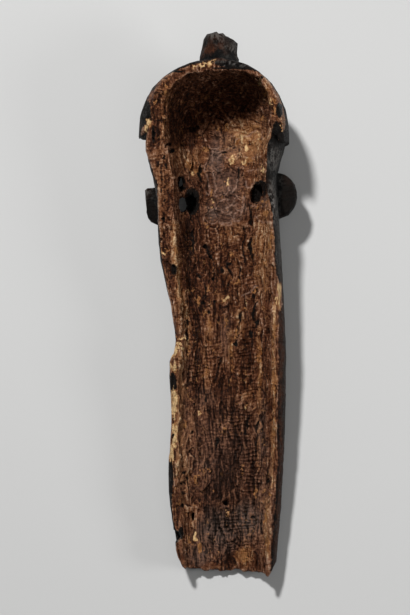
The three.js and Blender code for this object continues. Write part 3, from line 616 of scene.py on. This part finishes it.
# painted highlight: pale lines where facets meet, on the facets' lit lower rims and along the listed
# threads
paint["ridge"] = 0.6 * step(0.25, 0.0, deepest - runnerUp) * step(0.05, 0.4, runnerUp)
paint["ridge"] = np.maximum(paint["ridge"], seen * litLowerRim)
for line in highlightThreads:
    paint["ridge"] = np.maximum(paint["ridge"], seen * np.clip(1.15 - toLine(ragX, py, line) / 0.8, 0, 1))
border = np.minimum(px - np.interp(py, *zip(*leftEdge)), np.interp(py, *zip(*rightEdge)) - px)
border = np.minimum(border, py - np.interp(px, *zip(*topEdge)))
edgeZone = np.maximum(np.maximum(inside, rim), step(-24, -12, at["z"]))  # the patina is whole below this
bareWood = np.minimum(np.clip(0.5 + border / 5, 0, 1), edgeZone)
paint["wood"] = np.where(seen > 0, bareWood, np.maximum(inside, rim))
# painted shadow and burnt black
paint["black"] = patches(blackenedAndShadowed, px, py)
paint["crack"] = crack
paint["bare"] = patches(fresh, tornX, tornY) * edgeZone
paint["glint"] = patches(glints, tornX, tornY)
paint["curl"] = patches(curls, px, py)
paint["facet"] = patches([row[:4] for row in scoops], bentX, bentY) * inside
evenly = 1 - 0.8 * step(0.35, 0.65, paint["facet"])  # the facets get less painted shade and less crest lightening, and are smooth
# painted shade: darker in narrow and broad hollows, and on the facets' upper rims, where shade falls
paint["paintedShade"] = (np.clip(narrow / 1.1, 0, 1) + 0.3 * np.clip(broadly / 2.2, 0, 1)) * evenly
paint["paintedShade"] += 0.9 * seen * shadedUpperRim * (1 - np.clip(2 * litLowerRim, 0, 1))
# lighter on crests: rubbed wear, and painted highlight where crests catch the light
paint["rubbedCrestsAndHighlight"] = (np.clip(-narrow / 1.1, 0, 1) + 0.3 * np.clip(-broadly / 2.2, 0, 1)) * evenly
for name, values in paint.items():
    layer = mask.data.attributes.new(name, "FLOAT", "POINT")
    layer.data.foreach_set("value", np.clip(values, 0, 1).astype(np.float32))
print("painted")

# Old wood: reddish brown, adzed and oily inside, black and crusted outside
tones = {
    "deep": (0.014, 0.004, 0.0013, 1),
    "brown": (0.041, 0.012, 0.0045, 1),
    "warm": (0.103, 0.0335, 0.0138, 1),
    "tan": (0.26, 0.117, 0.061, 1),
    "pale": (0.53, 0.35, 0.245, 1),
    # edge is the colour of the painted highlight on rims and threads
    "edge": (0.42, 0.255, 0.185, 1),
    "amber": (0.18, 0.062, 0.019, 1),
    "ochre": (0.41, 0.19, 0.07, 1),
    "bare": (0.74, 0.50, 0.25, 1),
    "ash": (0.037, 0.027, 0.021, 1),
    "dust": (0.15, 0.093, 0.071, 1),
    "soot": (0.006, 0.0035, 0.0022, 1),
    "black": (0.002, 0.0018, 0.0016, 1),
    "crust": (0.0095, 0.0088, 0.0078, 1),
    "greyAndSheen": (0.20, 0.188, 0.172, 1),
    "worn": (0.05, 0.02, 0.009, 1),
}
oldWood = bpy.data.materials.new("oldWood")
oldWood.use_nodes = True
net = oldWood.node_tree
shader = net.nodes["Principled BSDF"]


def node(kind, values=(), **settings):
    made = net.nodes.new(kind)
    for key, value in settings.items():
        setattr(made, key, value)
    for key, value in dict(values).items():
        if isinstance(value, bpy.types.NodeSocket):
            net.links.new(value, made.inputs[key])
        else:
            made.inputs[key].default_value = value
    return made


def painted(name):
    return node("ShaderNodeAttribute", attribute_name=name).outputs["Fac"]


def sums(operation, a, b):
    return node("ShaderNodeMath", {0: a, 1: b}, operation=operation).outputs[0]


def swing(value):  # a noise about zero
    return sums("SUBTRACT", value, 0.5)


def mixed(amount, a, b):
    return node("ShaderNodeMix", {0: amount, 6: a, 7: b}, data_type="RGBA").outputs[2]


def between(value, low, high, a=0.0, b=1.0):
    ends = {0: value, 1: low, 2: high, 3: a, 4: b}
    return node("ShaderNodeMapRange", ends, interpolation_type="SMOOTHSTEP").outputs[0]


place = node("ShaderNodeTexCoord").outputs["Object"]
lying = node("ShaderNodeMapping", {"Vector": place, "Rotation": (-shot["tilt"], 0, 0)}).outputs[0]
swirl = node("ShaderNodeTexNoise", {"Vector": lying, "Scale": 38.0, "Detail": 2.0}).outputs["Color"]
swirl = node("ShaderNodeVectorMath", {0: swirl, 1: (0.5, 0.5, 0.5)}, operation="SUBTRACT").outputs[0]
swirl = node("ShaderNodeVectorMath", {0: swirl, 1: (0.010, 0.016, 0.010)}, operation="MULTIPLY").outputs[0]
bentWood = node("ShaderNodeVectorMath", {0: lying, 1: swirl}, operation="ADD").outputs[0]


def stretched(across, along):  # one unit for each lump of that many metres
    scale = (1 / across, 1 / along, 1 / across)
    return node("ShaderNodeMapping", {"Vector": bentWood, "Scale": scale}).outputs[0]


def grain(across, along, detail, rough):
    values = {"Vector": stretched(across, along), "Scale": 1.0, "Detail": detail, "Roughness": rough}
    return node("ShaderNodeTexNoise", values).outputs["Fac"]


def flakes(across, along):  # a random height for each torn flake of the wood
    cells = node("ShaderNodeTexVoronoi", {"Vector": stretched(across, along), "Scale": 1.0})
    return node("ShaderNodeSeparateColor", {0: cells.outputs["Color"]}).outputs[0]


fibres = grain(0.0026, 0.013, 4, 0.65)
strips = grain(0.008, 0.09, 6, 0.68)
clouds = grain(0.024, 0.045, 6, 0.65)
flecks = grain(0.0042, 0.0052, 5, 0.68)
nicks = grain(0.0085, 0.0023, 3, 0.6)  # short marks across the wood
flats, slivers = flakes(0.007, 0.017), flakes(0.0028, 0.008)
fine = grain(0.0014, 0.0019, 3, 0.6)
waves = {"Vector": bentWood, "Scale": 62.0, "Distortion": 3.5, "Detail": 2.0, "Detail Scale": 0.35}
ripples = node("ShaderNodeTexWave", waves, bands_direction="Y").outputs["Fac"]


def ramp(value, *stops):
    made = node("ShaderNodeValToRGB", {"Fac": value})
    while len(made.color_ramp.elements) < len(stops):
        made.color_ramp.elements.new(0.5)
    for element, (position, colour) in zip(made.color_ramp.elements, stops):
        element.position = position
        element.color = colour
    return made.outputs["Color"]


def weighed(*pairs):  # a sum of (value, weight)
    total = sums("MULTIPLY", *pairs[0])
    for value, weight in pairs[1:]:
        total = sums("ADD", total, sums("MULTIPLY", value, weight))
    return total


def crisp(value, noise, ragged, middle=0.5):  # a painted share with a sharp, ragged edge
    moved = sums("ADD", value, sums("MULTIPLY", swing(noise), ragged))
    return between(moved, middle - 0.07, middle + 0.07)


# inside wood: noise, the carved relief and the painted areas together say how light it is
ripple = sums("MULTIPLY", swing(ripples), painted("curl"))
onFacets = between(painted("facet"), 0.35, 0.65)
underDust = between(painted("dust"), 0.0, 1.0, 1.0, 0.62)
contrast = sums("MULTIPLY", between(onFacets, 0.0, 1.0, 1.0, 0.66), underDust)
busy = between(strips, 0.40, 0.60, 0.42, 1.2)  # some strips are more torn than others
figure = sums("SUBTRACT", weighed((fibres, 0.34), (flecks, 0.19), (nicks, 0.21)), 0.37)
figure = weighed((figure, busy), (swing(strips), 0.16), (swing(clouds), 0.14))
figure = weighed((figure, 1.0), (swing(flats), 0.03), (swing(slivers), 0.035), (ripple, 0.04))
headward = between(node("ShaderNodeSeparateXYZ", {0: lying}).outputs[1], -0.05, 0.06)
grit = weighed((swing(fine), 0.20), (swing(nicks), 0.10))
figure = weighed((figure, 1.0), (grit, headward))
figure = sums("ADD", sums("MULTIPLY", figure, contrast), 0.502)
# painted crest light and painted shade, with the ochre and soot areas, lighten and darken the wood
lightening = {"rubbedCrestsAndHighlight": 0.075, "paintedShade": -0.085, "ochre": 0.07, "soot": -0.085}
level = weighed((figure, 1.0), *((painted(name), share) for name, share in lightening.items()))
chatter = sums("MULTIPLY", swing(nicks), onFacets)  # fine marks across the facets
level = weighed((level, 1.0), (onFacets, -0.002), (chatter, 0.08))
woodTone = ramp(level, (0.405, tones["deep"]), (0.455, tones["brown"]), (0.505, tones["warm"]),
                (0.575, tones["tan"]), (0.65, tones["pale"]))
amber = ramp(level, (0.415, tones["deep"]), (0.455, tones["brown"]), (0.505, tones["amber"]),
             (0.59, tones["ochre"]), (0.66, tones["bare"]))
woodTone = mixed(sums("MULTIPLY", painted("ochre"), 0.8), woodTone, amber)
ashen = ramp(level, (0.41, tones["soot"]), (0.46, tones["ash"]), (0.52, tones["dust"]),
             (0.60, tones["tan"]))
woodTone = mixed(painted("dust"), woodTone, ashen)
splinters = sums("MULTIPLY", between(flecks, 0.585, 0.64), between(clouds, 0.46, 0.56))
woodTone = mixed(sums("MULTIPLY", splinters, 0.7), woodTone, tones["ochre"])
# painted highlight along the facets' rims and the threads
ridge = sums("MULTIPLY", painted("ridge"), between(flecks, 0.40, 0.52))
woodTone = mixed(sums("MULTIPLY", ridge, 0.8), woodTone, tones["edge"])
glintTone = ramp(fibres, (0.40, tones["amber"]), (0.56, tones["ochre"]))
woodTone = mixed(crisp(painted("glint"), flecks, 2.0, 0.55), woodTone, glintTone)
# outside patina
patina = ramp(flecks, (0.48, tones["black"]), (0.60, tones["crust"]), (0.76, tones["greyAndSheen"]))
# grey patina and painted sheen
greySheenTone = ramp(flecks, (0.43, tones["black"]), (0.47, tones["crust"]), (0.54, tones["greyAndSheen"]))
patina = mixed(painted("greyAndSheen"), patina, greySheenTone)
patina = mixed(sums("MULTIPLY", between(clouds, 0.5, 0.66), 0.12), patina, tones["worn"])
rustTone = ramp(level, (0.46, tones["black"]), (0.54, tones["brown"]), (0.62, tones["warm"]))
patina = mixed(painted("rust"), patina, rustTone)
# rubbed wear and painted highlight on the patina's crests
patina = mixed(sums("MULTIPLY", painted("rubbedCrestsAndHighlight"), 0.15), patina, tones["worn"])
# painted shade: the patina darker in its hollows
patina = mixed(sums("MULTIPLY", painted("paintedShade"), 0.8), patina, tones["black"])
onWood = crisp(painted("wood"), flecks, 0.9)
tone = mixed(onWood, patina, woodTone)
# painted shadow and burnt black: near-black with a few crust flecks
charredAndShadowed = ramp(flecks, (0.48, tones["soot"]), (0.70, tones["crust"]))
tone = mixed(crisp(painted("black"), flecks, 0.9), tone, charredAndShadowed)
tone = mixed(sums("MULTIPLY", crisp(painted("bare"), flecks, 1.3, 0.36), 0.75), tone, tones["ochre"])
brokenTone = ramp(fibres, (0.34, tones["ochre"]), (0.50, tones["bare"]))
tone = mixed(crisp(painted("bare"), fibres, 1.8, 0.56), tone, brokenTone)
# painted shade in the cracks and pits
tone = mixed(sums("MULTIPLY", between(painted("crack"), 0.2, 0.5), 0.5), tone, tones["deep"])
tone = mixed(crisp(painted("crack"), fibres, 1.6, 0.55), tone, tones["soot"])
net.links.new(tone, shader.inputs["Base Color"])

dullInside = sums("MULTIPLY", between(fibres, 0.35, 0.65, 0.32, 0.66), onWood)
offWood = sums("SUBTRACT", 1.0, onWood)
dullOutside = sums("MULTIPLY", between(flecks, 0.35, 0.65, 0.48, 0.85), offWood)
net.links.new(sums("ADD", dullInside, dullOutside), shader.inputs["Roughness"])
shader.inputs["Specular IOR Level"].default_value = 0.14

reliefMean = 1.52
relief = weighed((fibres, 0.8), (strips, 0.6), (flecks, 0.55), (nicks, 0.5), (fine, 0.3),
                 (ripple, 0.3), (flats, 0.16), (slivers, 0.12))
relief = sums("MULTIPLY", sums("SUBTRACT", relief, reliefMean), contrast)
bump = node("ShaderNodeBump", {"Strength": 1.0, "Distance": 0.006, "Height": relief})
net.links.new(bump.outputs[0], shader.inputs["Normal"])
mask.data.materials.append(oldWood)
print("wood's material made:", len(net.nodes), "nodes")

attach(mask, "root")
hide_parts("carved_mask")
